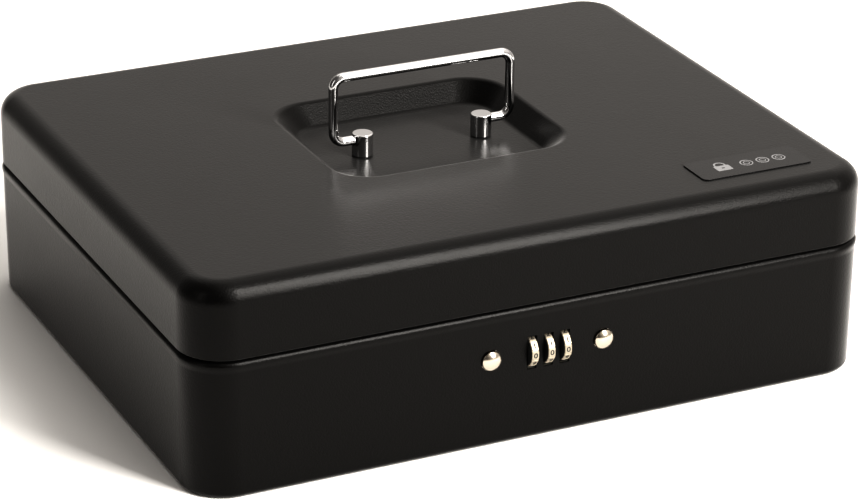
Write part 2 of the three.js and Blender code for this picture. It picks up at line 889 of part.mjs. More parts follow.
function noteWell([x0, x1], grow) {
  const y0 = tray.rowSplit + tray.rib / 2;
  const y1 = tray.halfDepth - tray.margin;
  const top = grow > 0 ? tray.top - 0.5 : tray.top + 1;
  const outline = roundedRectangle(x0 - grow, y0 - grow, x1 + grow, y1 + grow, 5 + grow);
  return upright(outline, tray.wellFloor - grow, top);
}

/** A shallow well for clips beside the lock; `side` is -1 left and 1 right. */
function clipWell(side, grow) {
  const near = tray.notchHalfWidth + tray.margin;
  const far = tray.halfWidth - tray.margin - 2;
  const [x0, x1] = side < 0 ? [-far, -near] : [near, far];
  const y0 = -tray.halfDepth + tray.margin;
  const y1 = tray.notchBack + tray.margin - tray.rib - tray.wall;
  const top = grow > 0 ? tray.top - 0.5 : tray.top + 1;
  const outline = roundedRectangle(x0 - grow, y0 - grow, x1 + grow, y1 + grow, 5 + grow);
  return upright(outline, tray.clipFloor - grow, top);
}

function coinTray() {
  const { halfWidth, halfDepth, cornerRadius, top, plate, skirtBottom, wall } = tray;
  const outline = (shrink) =>
    roundedRectangle(
      -halfWidth + shrink,
      -halfDepth + shrink,
      halfWidth - shrink,
      halfDepth - shrink,
      cornerRadius - shrink,
    );
  const notch = (shrink, low, high) =>
    block(
      [-tray.notchHalfWidth - shrink, -halfDepth - 5, low],
      [tray.notchHalfWidth + shrink, tray.notchBack + shrink, high],
    );
  const shell = cut(upright(outline(0), skirtBottom, top), notch(0, skirtBottom - 5, top + 5));
  const inside = cut(
    upright(outline(wall), skirtBottom - 1, top - plate),
    notch(wall, skirtBottom - 5, top + 5),
  );
  const coins = wellSpans(tray.coinCups);
  const notes = wellSpans(tray.noteWells);
  const wells = (grow) => [
    ...coins.map((span) => coinCup(span, grow)),
    ...notes.map((span) => noteWell(span, grow)),
    ...[-1, 1].map((side) => clipWell(side, grow)),
  ];
  return cut(join(cut(shell, inside), ...wells(wall)), ...wells(0));
}

/** The angle strip on a side wall that the tray's skirt rests on; `side` is -1 left, 1 right. */
function trayLedge(side) {
  const wallFace = WIDTH / 2 - SHEET - 0.6;
  const web = block([wallFace - SHEET, ledge.front, ledge.foot], [wallFace, ledge.back, ledge.top]);
  const shelf = block(
    [wallFace - ledge.reach, ledge.front, ledge.top - SHEET],
    [wallFace, ledge.back, ledge.top],
  );
  const strip = join(web, shelf);
  return side < 0 ? strip.rotateZ(Math.PI).translate(0, ledge.front + ledge.back, 0) : strip;
}

// ---- Assembly -----------------------------------------------------------------------------

function piece(name, geometry, finish, position = [0, 0, 0]) {
  const mesh = new THREE.Mesh(geometry, new THREE.MeshStandardMaterial(finishes[finish]));
  mesh.name = name;
  mesh.position.set(...position);
  return mesh;
}

function group(...members) {
  const result = new THREE.Group();
  result.add(...members);
  return result;
}

const sides = [['left', -1], ['right', 1]];
const dialNames = ['left', 'middle', 'right'];

function baseGroup() {
  const leaves = sides.flatMap(([name, side]) => {
    const at = [side * hinge.x, hinge.y, hinge.z];
    return [
      piece(`hinge_leaf_base_${name}`, hingeLeaf(-1), 'blackPaint', at),
      piece(`hinge_pin_${name}`, hingePin(), 'zinc', at),
    ];
  });
  const ledges = sides.map(([name, side]) =>
    piece(`tray_ledge_${name}`, trayLedge(side), 'blackPaint'),
  );
  return group(piece('base_shell', baseShell(), 'blackPaint'), ...leaves, ...ledges);
}

function lockGroup() {
  const axle = [0, lock.axleY, lock.z];
  const dials = dialPositions().flatMap((x, i) => [
    piece(`dial_${dialNames[i]}`, dial(), 'nickel', [x, lock.axleY, lock.z]),
    piece(`clutch_${dialNames[i]}`, dialClutch(), 'zinc', [x, lock.axleY, lock.z]),
  ]);
  const pairs = sides.flatMap(([name, side]) => [
    piece(`button_${name}`, pushButton(), 'nickel', [side * lock.buttonX, 0, lock.z]),
    piece(`button_spring_${name}`, buttonSpring(), 'springSteel', [
      side * lock.buttonX, 0, lock.z,
    ]),
    piece(`lock_screw_${name}`, lockScrew(), 'zinc', [side * lockCase.screwX, 0, lock.z]),
  ]);
  return group(
    piece('lock_case', lockCaseShell(), 'zinc'),
    piece('dial_frame', dialFrame(), 'zinc'),
    piece('dial_axle', dialAxle(), 'zinc', axle),
    piece('axle_clip', axleClip(), 'springSteel', axle),
    piece('detent_spring', detentSpring(), 'springSteel'),
    piece('latch_plate', latchPlate(), 'zinc'),
    piece('change_lever', changeLever(), 'zinc'),
    ...dials,
    ...pairs,
  );
}

function lidGroup() {
  const fittings = sides.flatMap(([name, side]) => [
    piece(`hinge_leaf_lid_${name}`, hingeLeaf(1), 'blackPaint', [
      side * hinge.x, hinge.y, hinge.z,
    ]),
    piece(`handle_post_${name}`, handlePost(side), 'chrome', [handleX + side * post.x, 0, 0]),
    piece(`post_washer_${name}`, postWasher(), 'zinc', [handleX + side * post.x, 0, 0]),
  ]);
  return group(
    piece('lid_shell', lidShell(), 'blackPaint'),
    piece('lid_keeper', lidKeeper(), 'zinc'),
    piece('label_plate', labelPlate(), 'labelFilm', [label.x, label.y, HEIGHT + 0.1]),
    piece('handle_bail', handleBail(), 'chrome', [handleX, 0, bail.axisZ]),
    ...fittings,
  );
}

const cashBox = group(
  baseGroup(),
  lockGroup(),
  lidGroup(),
  piece('coin_tray', coinTray(), 'blackPlastic'),
);
cashBox.name = 'cash_box';

export default cashBox;
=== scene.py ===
"""A steel cash box with a wire handle, a three-dial lock and a lift-out coin tray."""
import math

import bmesh
import bpy
from mathutils import Matrix, Vector


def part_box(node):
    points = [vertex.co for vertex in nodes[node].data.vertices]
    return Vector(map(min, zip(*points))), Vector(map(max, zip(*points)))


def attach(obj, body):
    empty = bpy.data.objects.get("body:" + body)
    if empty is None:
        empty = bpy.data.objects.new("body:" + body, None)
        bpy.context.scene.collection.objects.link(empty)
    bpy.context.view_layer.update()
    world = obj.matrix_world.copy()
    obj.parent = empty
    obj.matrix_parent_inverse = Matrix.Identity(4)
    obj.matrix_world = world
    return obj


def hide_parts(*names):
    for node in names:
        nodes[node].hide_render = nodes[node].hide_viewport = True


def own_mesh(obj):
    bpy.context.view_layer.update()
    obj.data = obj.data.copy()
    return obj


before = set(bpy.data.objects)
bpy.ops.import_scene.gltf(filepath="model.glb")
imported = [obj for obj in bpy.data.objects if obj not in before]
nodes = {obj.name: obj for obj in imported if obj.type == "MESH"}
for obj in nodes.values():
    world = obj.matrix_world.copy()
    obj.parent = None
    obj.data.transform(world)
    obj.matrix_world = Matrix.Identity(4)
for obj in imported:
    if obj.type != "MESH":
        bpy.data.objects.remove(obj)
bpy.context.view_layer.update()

MM = 0.001
scene = bpy.context.scene


# ---- Camera -----------------------------------------------------------------------------------

def make_camera():
    """The photograph's viewpoint, fitted to the box's silhouette and seam."""
    azimuth, elevation, roll = (math.radians(a) for a in (-25.543, 23.728, 0.569))
    target = Vector((0.00246, -0.00606, 0.03498))
    distance = 1.41802
    back = Vector((
        math.sin(azimuth) * math.cos(elevation),
        -math.cos(azimuth) * math.cos(elevation),
        math.sin(elevation),
    ))
    level = Vector((math.cos(azimuth), math.sin(azimuth), 0))
    upward = back.cross(level)
    right = level * math.cos(roll) + upward * math.sin(roll)
    up = upward * math.cos(roll) - level * math.sin(roll)
    lens = bpy.data.cameras.new("camera")
    lens.lens = 139.3
    lens.sensor_width = 36
    camera = bpy.data.objects.new("camera", lens)
    place = Matrix((right, up, back)).transposed().to_4x4()
    place.translation = target + back * distance
    camera.matrix_world = place
    scene.collection.objects.link(camera)
    scene.camera = camera


make_camera()


# ---- What the frame says, in millimetres --------------------------------------------------------

class Box:
    """A CAD node's box at rest, in millimetres."""

    def __init__(self, node):
        low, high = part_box(node)
        self.low = Vector(low) / MM
        self.high = Vector(high) / MM
        self.middle = (self.low + self.high) / 2
        self.size = self.high - self.low


BASE = Box("base_shell")
LID = Box("lid_shell")
HALF_WIDTH = LID.high.x
HALF_DEPTH = LID.high.y
TOP = LID.high.z
SHEET = 1.0
FIT = 0.3  # room between pieces that touch on the real box
CORNER = 18.9  # radius of the vertical corners
WIRE = 2.0  # radius of the handle's wire
KNUCKLE = 2.6  # radius of the hinges' knuckles
HINGE_ROOM = 0.4  # between a hinge and the notch around it
BUTTON_RADIUS = 4.1
SHANK_BORE = 2.8  # radius of the holes that the handle posts' shanks pass through
SIDES = ("left", "right")
WHEELS = ("left", "middle", "right")


# ---- Mesh helpers -------------------------------------------------------------------------------

def mesh_from(name, vertices, faces):
    mesh = bpy.data.meshes.new(name)
    mesh.from_pydata([Vector(v) * MM for v in vertices], [], faces)
    mesh.validate()
    form = bmesh.new()
    form.from_mesh(mesh)
    bmesh.ops.recalc_face_normals(form, faces=form.faces)
    form.to_mesh(mesh)
    form.free()
    return mesh


def temporary(mesh):
    holder = bpy.data.objects.new("temporary", mesh)
    scene.collection.objects.link(holder)
    return holder


def evaluated(holder):
    graph = bpy.context.evaluated_depsgraph_get()
    return bpy.data.meshes.new_from_object(holder.evaluated_get(graph), depsgraph=graph)


def discard(*holders):
    for holder in holders:
        bpy.data.objects.remove(holder)


def merged(name, meshes):
    """Several meshes as one, keeping their materials."""
    form = bmesh.new()
    materials = []
    for mesh in meshes:
        start = len(form.faces)
        form.from_mesh(mesh)
        form.faces.ensure_lookup_table()
        for face in form.faces[start:]:
            own = mesh.materials[face.material_index] if mesh.materials else None
            if own not in materials:
                materials.append(own)
            face.material_index = materials.index(own)
    result = bpy.data.meshes.new(name)
    form.to_mesh(result)
    form.free()
    for material in materials:
        if material:
            result.materials.append(material)
    return result


def carved(mesh, cutters, crossing=False):
    """The mesh less every cutter; a cutter's material shows on the faces it leaves.

    Cutters whose own faces cross, as a letter's strokes do, need crossing set.
    """
    holder, tool = temporary(mesh), temporary(merged("cutters", cutters))
    change = holder.modifiers.new("cut", "BOOLEAN")
    change.operation = "DIFFERENCE"
    change.solver = "EXACT"
    change.use_self = crossing
    change.material_mode = "TRANSFER"
    change.object = tool
    result = evaluated(holder)
    discard(holder, tool)
    return result


def smoothed(mesh, angle=32):
    mesh.shade_smooth()
    mesh.set_sharp_from_angle(angle=math.radians(angle))
    return mesh


def add_piece(name, mesh, body, slot, replaced, angle=32, bevel=0.0, steps=2):
    """A finished piece that rides on a body and stands for CAD nodes."""
    piece = bpy.data.objects.new(name, smoothed(mesh, angle))
    scene.collection.objects.link(piece)
    if bevel:
        edge = piece.modifiers.new("edges", "BEVEL")
        edge.width = bevel * MM
        edge.segments = steps
        edge.limit_method = "ANGLE"
        edge.angle_limit = math.radians(angle + 8)
        edge.use_clamp_overlap = False
        edge.miter_outer = "MITER_ARC"
    normals = piece.modifiers.new("normals", "WEIGHTED_NORMAL")
    normals.keep_sharp = True
    if not any(mesh.materials):
        mesh.materials.clear()
        mesh.materials.append(FINISHES[slot])
    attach(piece, body)
    if replaced:
        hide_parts(*replaced)
    return piece


def arc(centre, radius, start, end, steps):
    """Points on an arc; angles in degrees."""
    turns = [math.radians(start + (end - start) * i / steps) for i in range(steps + 1)]
    return [
        (centre[0] + radius * math.cos(turn), centre[1] + radius * math.sin(turn))
        for turn in turns
    ]


def block(low, high):
    corners = [
        (x, y, z) for x in (low[0], high[0]) for y in (low[1], high[1]) for z in (low[2], high[2])
    ]
    faces = [(0, 1, 3, 2), (4, 6, 7, 5), (0, 4, 5, 1), (2, 3, 7, 6), (0, 2, 6, 4), (1, 5, 7, 3)]
    return mesh_from("block", corners, faces)


def lofted(name, rings, closed=False):
    """Quads between equal rings of points; the two end rings are filled unless it is closed."""
    count = len(rings[0])
    vertices = [point for ring in rings for point in ring]
    faces = []
    last = len(rings) if closed else len(rings) - 1
    for ring in range(last):
        for i in range(count):
            j = (i + 1) % count
            a, b = ring * count, ((ring + 1) % len(rings)) * count
            faces.append((a + i, a + j, b + j, b + i))
    if not closed:
        faces.append(tuple(range(count)))
        faces.append(tuple(len(vertices) - count + i for i in range(count)))
    return mesh_from(name, vertices, faces)


def turned(name, profile, centre, axis, segments=64):
    """A turned piece from (radius, along) pairs about an axis through a centre.

    The radii at both ends are 0, or the profile is a closed loop of its own.
    """
    side = Vector((0, 0, 1)) if abs(axis.z) < 0.5 else Vector((1, 0, 0))
    across = axis.cross(side)
    tube = profile[0][0] > 0
    inner = profile if tube else profile[1:-1]
    rings = []
    for radius, along in inner:
        turns = [2 * math.pi * i / segments for i in range(segments)]
        rings.append([
            centre + axis * along + (side * math.cos(t) + across * math.sin(t)) * radius
            for t in turns
        ])
    return lofted(name, rings, closed=tube)


def swept(name, points, radius, sides, flat_normal=None):
    """A round wire along a line of points, with its ends slightly rounded off."""
    rings = []
    count = len(points)
    previous = None
    for i, point in enumerate(points):
        ahead = points[min(i + 1, count - 1)] - points[max(i - 1, 0)]
        ahead.normalize()
        if flat_normal is not None:
            side = flat_normal
        else:
            side = previous - ahead * previous.dot(ahead) if previous else ahead.orthogonal()
            side.normalize()
            previous = side
        other = ahead.cross(side)
        shrink = {0: 0.55, 1: 0.88}.get(min(i, count - 1 - i), 1.0)
        rings.append([
            point + (side * math.cos(t) + other * math.sin(t)) * radius * shrink
            for t in (2 * math.pi * k / sides for k in range(sides))
        ])
    return lofted(name, rings)


def refined(name, node, body, slot, bevel=0.2, angle=32, steps=2):
    """A CAD node's own shape with its flats joined up and its edges rounded.

    A flat with a hole in it is split again, because the bevel would fill the hole.
    """
    mesh = nodes[node].data.copy()
    mesh.materials.clear()
    form = bmesh.new()
    form.from_mesh(mesh)
    bmesh.ops.remove_doubles(form, verts=form.verts, dist=0.002 * MM)
    bmesh.ops.dissolve_limit(
        form, angle_limit=math.radians(0.3), verts=form.verts, edges=form.edges
    )
    bmesh.ops.triangulate(form, faces=[face for face in form.faces if len(face.verts) > 4])
    form.to_mesh(mesh)
    form.free()
    return add_piece(name, mesh, body, slot, [node], angle=angle, bevel=bevel, steps=steps)


# ---- Materials ----------------------------------------------------------------------------------

class Shader:
    """A Principled material and short ways to add the nodes that vary it."""

    def __init__(self, name, color, roughness, metallic=0.0, **sockets):
        self.material = bpy.data.materials.new(name)
        self.material.use_nodes = True
        self.material.diffuse_color = (*color, 1)
        self.tree = self.material.node_tree
        self.surface = self.tree.nodes["Principled BSDF"]
        self.place = self.tree.nodes.new("ShaderNodeTexCoord").outputs["Object"]
        self.set(Base_Color=(*color, 1), Roughness=roughness, Metallic=metallic, **sockets)

    def set(self, **sockets):
        for name, value in sockets.items():
            self.surface.inputs[name.replace("_", " ")].default_value = value

    def node(self, kind, **values):
        made = self.tree.nodes.new(kind)
        for name, value in values.items():
            setattr(made, name, value)
        return made

    def link(self, output, socket):
        self.tree.links.new(output, socket)

    def stretched(self, factors):
        mapping = self.node("ShaderNodeMapping")
        mapping.inputs["Scale"].default_value = factors
        self.link(self.place, mapping.inputs["Vector"])
        return mapping.outputs["Vector"]

    def noise(self, size, detail=2.0, place=None):
        """Noise whose blobs are about `size` millimetres."""
        made = self.node("ShaderNodeTexNoise")
        made.inputs["Scale"].default_value = 1 / (size * MM)
        made.inputs["Detail"].default_value = detail
        self.link(place or self.place, made.inputs["Vector"])
        return made.outputs["Fac"]

    def cells(self, size, output="Distance"):
        """Voronoi cells about `size` millimetres across."""
        made = self.node("ShaderNodeTexVoronoi")
        made.inputs["Scale"].default_value = 1 / (size * MM)
        self.link(self.place, made.inputs["Vector"])
        return made.outputs[output]

    def spread(self, value, low, high, to_low, to_high):
        made = self.node("ShaderNodeMapRange")
        for name, number in zip(
            ("From Min", "From Max", "To Min", "To Max"), (low, high, to_low, to_high)
        ):
            made.inputs[name].default_value = number
        self.link(value, made.inputs["Value"])
        return made.outputs["Result"]

    def math(self, operation, first, second):
        made = self.node("ShaderNodeMath", operation=operation)
        for socket, value in zip(made.inputs, (first, second)):
            if isinstance(value, (int, float)):
                socket.default_value = value
            else:
                self.link(value, socket)
        return made.outputs["Value"]

    def blend(self, factor, first, second):
        made = self.node("ShaderNodeMix", data_type="RGBA")
        self.link(factor, made.inputs["Factor"])
        for socket, value in zip((made.inputs[6], made.inputs[7]), (first, second)):
            if isinstance(value, tuple):
                socket.default_value = (*value, 1)
            else:
                self.link(value, socket)
        return made.outputs[2]

    def color(self, value):
        self.link(value, self.surface.inputs["Base Color"])

    def roughness(self, value):
        self.link(value, self.surface.inputs["Roughness"])

    def bump(self, *layers):
        """Bumps laid over each other: pairs of a height and its depth in millimetres."""
        normal = None
        for height, depth in layers:
            made = self.node("ShaderNodeBump")
            made.inputs["Strength"].default_value = 1.0
            made.inputs["Distance"].default_value = depth * MM
            self.link(height, made.inputs["Height"])
            if normal:
                self.link(normal, made.inputs["Normal"])
            normal = made.outputs["Normal"]
        self.link(normal, self.surface.inputs["Normal"])


def powder_paint():
    """Fine black powder coat: a tight grain that sparkles and slightly uneven gloss."""
    shader = Shader(
        "black_paint", (0.0012, 0.0011, 0.001), 0.37, IOR=1.2,
        Coat_Weight=1.0, Coat_Roughness=0.2, Coat_IOR=1.09,
        Sheen_Weight=0.2, Sheen_Roughness=0.35,
    )
    grain = shader.noise(0.8, detail=2.0)
    cloud = shader.noise(26, detail=3.0)
    specks = shader.spread(shader.cells(0.9), 0.0, 0.09, 1.0, 0.0)
    dust = shader.spread(shader.noise(60, detail=2.0), 0.52, 0.7, 0.0, 0.3)
    shader.color(shader.blend(
        shader.math("MULTIPLY", specks, dust),
        (0.0012, 0.0011, 0.001),
        (0.02, 0.0185, 0.017),
    ))
    shader.roughness(shader.spread(cloud, 0.3, 0.7, 0.36, 0.38))
    shader.bump((grain, 0.13), (shader.noise(3.2, detail=1.0), 0.012))
    return shader.material


def plated_chrome():
    """Polished chrome with a faint haze and a slight wave."""
    shader = Shader("chrome", (0.6, 0.6, 0.61), 0.05, metallic=1.0)
    haze = shader.noise(7, detail=4.0)
    shader.roughness(shader.spread(haze, 0.3, 0.75, 0.03, 0.09))
    shader.color(shader.blend(haze, (0.64, 0.64, 0.65), (0.56, 0.56, 0.56)))
    shader.bump((shader.noise(6, detail=1.0), 0.002))
    return shader.material


def bright_nickel():
    """Warm satin nickel of the push buttons."""
    shader = Shader("nickel", (0.52, 0.47, 0.39), 0.16, metallic=1.0)
    haze = shader.noise(2.5, detail=4.0)
    shader.color(shader.blend(haze, (0.56, 0.51, 0.43), (0.46, 0.41, 0.34)))
    shader.roughness(shader.spread(haze, 0.3, 0.7, 0.12, 0.26))
    shader.bump((shader.noise(0.35, detail=3.0), 0.002))
    return shader.material


def wheel_nickel():
    """The number wheels' plate, duller than the buttons from handling."""
    shader = Shader("wheel_nickel", (0.42, 0.38, 0.31), 0.58, metallic=1.0)
    wear = shader.noise(1.8, detail=4.0)
    shader.color(shader.blend(wear, (0.46, 0.42, 0.345), (0.38, 0.34, 0.275)))
    shader.roughness(shader.spread(wear, 0.3, 0.7, 0.52, 0.64))
    shader.bump((shader.noise(0.3, detail=3.0), 0.002))
    return shader.material


def zinc_plate():
    """Zinc-plated sheet: soft crystal patches, fine rolling lines and a faint yellow cast."""
    shader = Shader("zinc", (0.5, 0.5, 0.49), 0.4, metallic=1.0)
    patches = shader.cells(2.4, output="Color")
    tone = shader.node("ShaderNodeSeparateColor")
    shader.link(patches, tone.inputs["Color"])
    lines = shader.noise(0.5, detail=2.0, place=shader.stretched((0.08, 1.0, 1.0)))
    cast = shader.blend(shader.noise(9, detail=3.0), (0.5, 0.5, 0.51), (0.55, 0.52, 0.43))
    shader.color(shader.blend(
        shader.spread(tone.outputs["Red"], 0.0, 1.0, 0.0, 0.22), cast, (0.3, 0.31, 0.33)
    ))
    shader.roughness(shader.spread(lines, 0.3, 0.7, 0.3, 0.5))
    shader.bump((lines, 0.004), (shader.noise(5, detail=2.0), 0.02))
    return shader.material


def spring_steel():
    """Bare steel with drawing lines along X."""
    shader = Shader("spring_steel", (0.26, 0.27, 0.29), 0.32, metallic=1.0)
    drawn = shader.noise(0.4, detail=2.0, place=shader.stretched((0.3, 1.0, 1.0)))
    shader.color(shader.blend(drawn, (0.2, 0.21, 0.24), (0.36, 0.34, 0.32)))
    shader.roughness(shader.spread(drawn, 0.3, 0.7, 0.24, 0.42))
    shader.bump((drawn, 0.004))
    return shader.material


def moulded_plastic():
    """Black moulded plastic with a fine eroded texture."""
    shader = Shader("black_plastic", (0.011, 0.011, 0.012), 0.5, IOR=1.46)
    grain = shader.noise(0.5, detail=2.0)
    flow = shader.noise(45, detail=2.0)
    shader.color(shader.blend(flow, (0.009, 0.009, 0.01), (0.015, 0.015, 0.016)))
    shader.roughness(shader.spread(grain, 0.3, 0.7, 0.42, 0.58))
    shader.bump((grain, 0.03), (shader.noise(12, detail=1.0), 0.03))
    return shader.material


def label_film():
    """Printed film with nearly the lid's tone, a little smoother than its paint."""
    shader = Shader(
        "label_film", (0.002, 0.002, 0.0022), 0.3, IOR=1.2,
        Coat_Weight=1.0, Coat_Roughness=0.16, Coat_IOR=1.09,
        Sheen_Weight=0.2, Sheen_Roughness=0.35,
    )
    weave = shader.noise(0.3, detail=2.0)
    shader.color(shader.blend(shader.noise(8), (0.0015, 0.0015, 0.0017), (0.003, 0.003, 0.0033)))
    shader.roughness(shader.spread(weave, 0.3, 0.7, 0.26, 0.34))
    shader.bump((weave, 0.004))
    return shader.material


def label_ink():
    """Grey ink that covers unevenly."""
    shader = Shader("label_ink", (0.19, 0.19, 0.195), 0.5)
    patchy = shader.noise(0.25, detail=3.0)
    shader.color(shader.blend(patchy, (0.14, 0.14, 0.145), (0.24, 0.24, 0.245)))
    shader.roughness(shader.spread(patchy, 0.3, 0.7, 0.42, 0.6))
    return shader.material


def engraving_paint():
    """Black filler in the engraved digits."""
    shader = Shader("engraving_paint", (0.008, 0.008, 0.008), 0.55)
    patchy = shader.noise(0.3, detail=3.0)
    shader.color(shader.blend(patchy, (0.005, 0.005, 0.005), (0.02, 0.018, 0.016)))
    shader.roughness(shader.spread(patchy, 0.3, 0.7, 0.45, 0.7))
    return shader.material


def dial_core():
    """The near-black sides of a number wheel."""
    shader = Shader("dial_core", (0.012, 0.012, 0.012), 0.45)
    rings = shader.noise(0.4, detail=2.0)
    shader.color(shader.blend(rings, (0.008, 0.008, 0.008), (0.02, 0.02, 0.02)))
    shader.roughness(shader.spread(rings, 0.3, 0.7, 0.38, 0.55))
    shader.bump((rings, 0.006))
    return shader.material


FINISHES = {
    "black_paint": powder_paint(),
    "chrome": plated_chrome(),
    "nickel": bright_nickel(),
    "zinc": zinc_plate(),
    "spring_steel": spring_steel(),
    "black_plastic": moulded_plastic(),
    "label_film": label_film(),
}
LABEL_INK = label_ink()
ENGRAVING = engraving_paint()
NEAR_BLACK_DIAL = dial_core()
WHEEL_NICKEL = wheel_nickel()


# ---- The two drawn shells -----------------------------------------------------------------------

def level_line(half_x, half_y, radius, z, middle_y=0.0, steps=18):
    """A rounded rectangle seen from above."""
    points = []
    for corner in range(4):
        sign_x = 1 if corner in (0, 3) else -1
        sign_y = 1 if corner < 2 else -1
        centre = (sign_x * (half_x - radius), middle_y + sign_y * (half_y - radius))
        for x, y in arc(centre, radius, 90 * corner, 90 * corner + 90, steps):
            points.append((x, y, z))
    return points


def inset(distance, z):
    """The box's outline seen from above, drawn in by a distance."""
    return level_line(
        HALF_WIDTH - distance, HALF_DEPTH - distance, max(CORNER - distance, 1), z
    )


def eased(start, end, steps):
    """Points from one (distance, z) to another along a gentle S."""
    points = []
    for i in range(1, steps):
        t = i / steps
        across = (1 - math.cos(math.pi * t)) / 2
        points.append((
            start[0] + (end[0] - start[0]) * across, start[1] + (end[1] - start[1]) * t
        ))
    return points


def base_shell():
    edge, taper, bead_radius = 2.5, 0.3, 2.0
    bead_foot, rim_top, lip_inset = 53.5, 58.4, 1.7
    ease, ease_x, ease_z = 0.35, 0.12, 0.1
    lip_top = BASE.high.z
    proud = BASE.high.x - HALF_WIDTH
    foot = taper + edge
    bead = (bead_radius - proud, rim_top - bead_radius)
    outside = [
        *arc((foot, edge), edge, 270, 180, 10),
        (0, bead_foot),
        *eased((0, bead_foot), (-proud, bead[1]), 6),
        *arc(bead, bead_radius, 180, 90, 10),
        (lip_inset, rim_top),
        (lip_inset, lip_top - ease),
        (lip_inset + ease_x, lip_top - ease_z),
        (lip_inset + ease, lip_top),
    ]
    inner = lip_inset + SHEET
    inside = [
        (inner - ease, lip_top),
        (inner - ease_x, lip_top - ease_z),
        (inner, lip_top - ease),
        (inner, rim_top - SHEET),
        *arc(bead, bead_radius - SHEET, 90, 180, 6),
        (SHEET, bead_foot),
        *arc((foot, edge), edge - SHEET, 180, 270, 6),
    ]
    pan = lofted("base_shell", [inset(d, z) for d, z in outside + inside])
    cutters = [*dial_slots(), *button_holes(), *base_hinge_notches()]
    add_piece(
        "base_pan", carved(pan, cutters), "base", "black_paint", ["base_shell"], angle=30
    )


def flared_slot(x, z, half_width, half_height):
    """A cutter for an upright slot in the front wall whose outer edge is eased."""
    wall = -HALF_DEPTH
    levels = [(-6.0, 0.3), (-0.3, 0.3), (0.02, 0.08), (0.35, 0.0), (3.0, 0.0)]
    rings = [
        [
            (x + sx * (half_width + grow), wall + depth, z + sz * (half_height + grow))
            for sx, sz in ((-1, -1), (1, -1), (1, 1), (-1, 1))
        ]
        for depth, grow in levels
    ]
    return lofted("slot", rings)


def dial_slots():
    half_width, half_height = 2.05, 7.15
    z = Box("dial_middle").middle.z
    return [
        flared_slot(Box(f"dial_{name}").middle.x, z, half_width, half_height)
        for name in WHEELS
    ]


def button_holes():
    holes = []
    for name in SIDES:
        button = Box(f"button_{name}").middle
        wall = Vector((button.x, -HALF_DEPTH, button.z))
        room, reach = 0.35, 4.0
        hole = BUTTON_RADIUS + room
        flare = hole + room
        profile = [
            (0, reach), (hole, reach), (hole, 0.05), (hole + 0.1, -0.05),
            (flare, -0.5), (flare, -reach), (0, -reach),
        ]
        holes.append(turned("hole", profile, wall, Vector((0, 1, 0)), 72))
    return holes


def base_hinge_notches():
    return [
        block(
            (leaf.low.x - HINGE_ROOM, HALF_DEPTH - 4, leaf.high.z - 2 * KNUCKLE - HINGE_ROOM),
            (leaf.high.x + HINGE_ROOM, HALF_DEPTH + 4, BASE.high.z + 1),
        )
        for leaf in (Box("hinge_leaf_base_left"), Box("hinge_leaf_base_right"))
    ]


# The stamped recess in millimetres: how deep it drops, how far its walls lean in, the radius of
# its corners and of its soft bends, and how far its middle stands behind the lid's.
RECESS = {
    "width": 106.2, "depth": 87.8, "drop": 8.8, "run": 8.2, "corner": 18.0, "soft": 3.0,
    "y": 0.85,
}


def recess_section(below, steps=8):
    """Level lines of the stamped recess, from its floor out to the flat top."""
    slope = math.atan2(RECESS["drop"], RECESS["run"])
    blend = RECESS["soft"] * math.tan(slope / 2)
    foot, brow = RECESS["soft"] + below, RECESS["soft"] - below
    turns = [slope * i / steps for i in range(steps + 1)]
    profile = [
        (
            -RECESS["run"] - blend + foot * math.sin(turn),
            -RECESS["drop"] - below + foot * (1 - math.cos(turn)),
        )
        for turn in turns
    ]
    profile += [
        (blend - brow * math.sin(turn), -below - brow * (1 - math.cos(turn)))
        for turn in reversed(turns)
    ]
    return [
        level_line(
            RECESS["width"] / 2 + out,
            RECESS["depth"] / 2 + out,
            RECESS["corner"] + out * 0.6,
            TOP + z,
            RECESS["y"],
        )
        for out, z in profile
    ]


def lid_shell():
    edge, ease = 8.9, 0.25
    bottom = LID.low.z
    shoulder = (edge, TOP - edge)
    inner = [
        *recess_section(SHEET),
        *(inset(d, z) for d, z in arc(shoulder, edge - SHEET, 90, 180, 14)),
        inset(SHEET, bottom + ease),
        inset(SHEET - ease, bottom),
    ]
    outer = [
        inset(ease, bottom),
        inset(0, bottom + ease),
        *(inset(d, z) for d, z in arc(shoulder, edge, 180, 90, 18)),
        *reversed(recess_section(0)),
    ]
    pan = lofted("lid_shell", inner + outer)
    add_piece(
        "lid_pan",
        carved(pan, [*shank_holes(), *lid_hinge_notches()]),
        "lid", "black_paint", ["lid_shell"], angle=30,
    )


def shank_holes():
    floor = TOP - RECESS["drop"]
    holes = []
    for name in SIDES:
        x = Box(f"handle_post_{name}").middle.x
        profile = [(0, -4), (SHANK_BORE, -4), (SHANK_BORE, 4), (0, 4)]
        holes.append(turned("hole", profile, Vector((x, 0, floor)), Vector((0, 0, 1)), 48))
    return holes


def lid_hinge_notches():
    return [
        block(
            (leaf.low.x - HINGE_ROOM, HALF_DEPTH - 3, LID.low.z - 2),
            (leaf.high.x + HINGE_ROOM, HALF_DEPTH + 3, leaf.low.z + 2 * KNUCKLE + HINGE_ROOM),
        )
        for leaf in (Box("hinge_leaf_lid_left"), Box("hinge_leaf_lid_right"))
    ]


# ---- Handle -------------------------------------------------------------------------------------

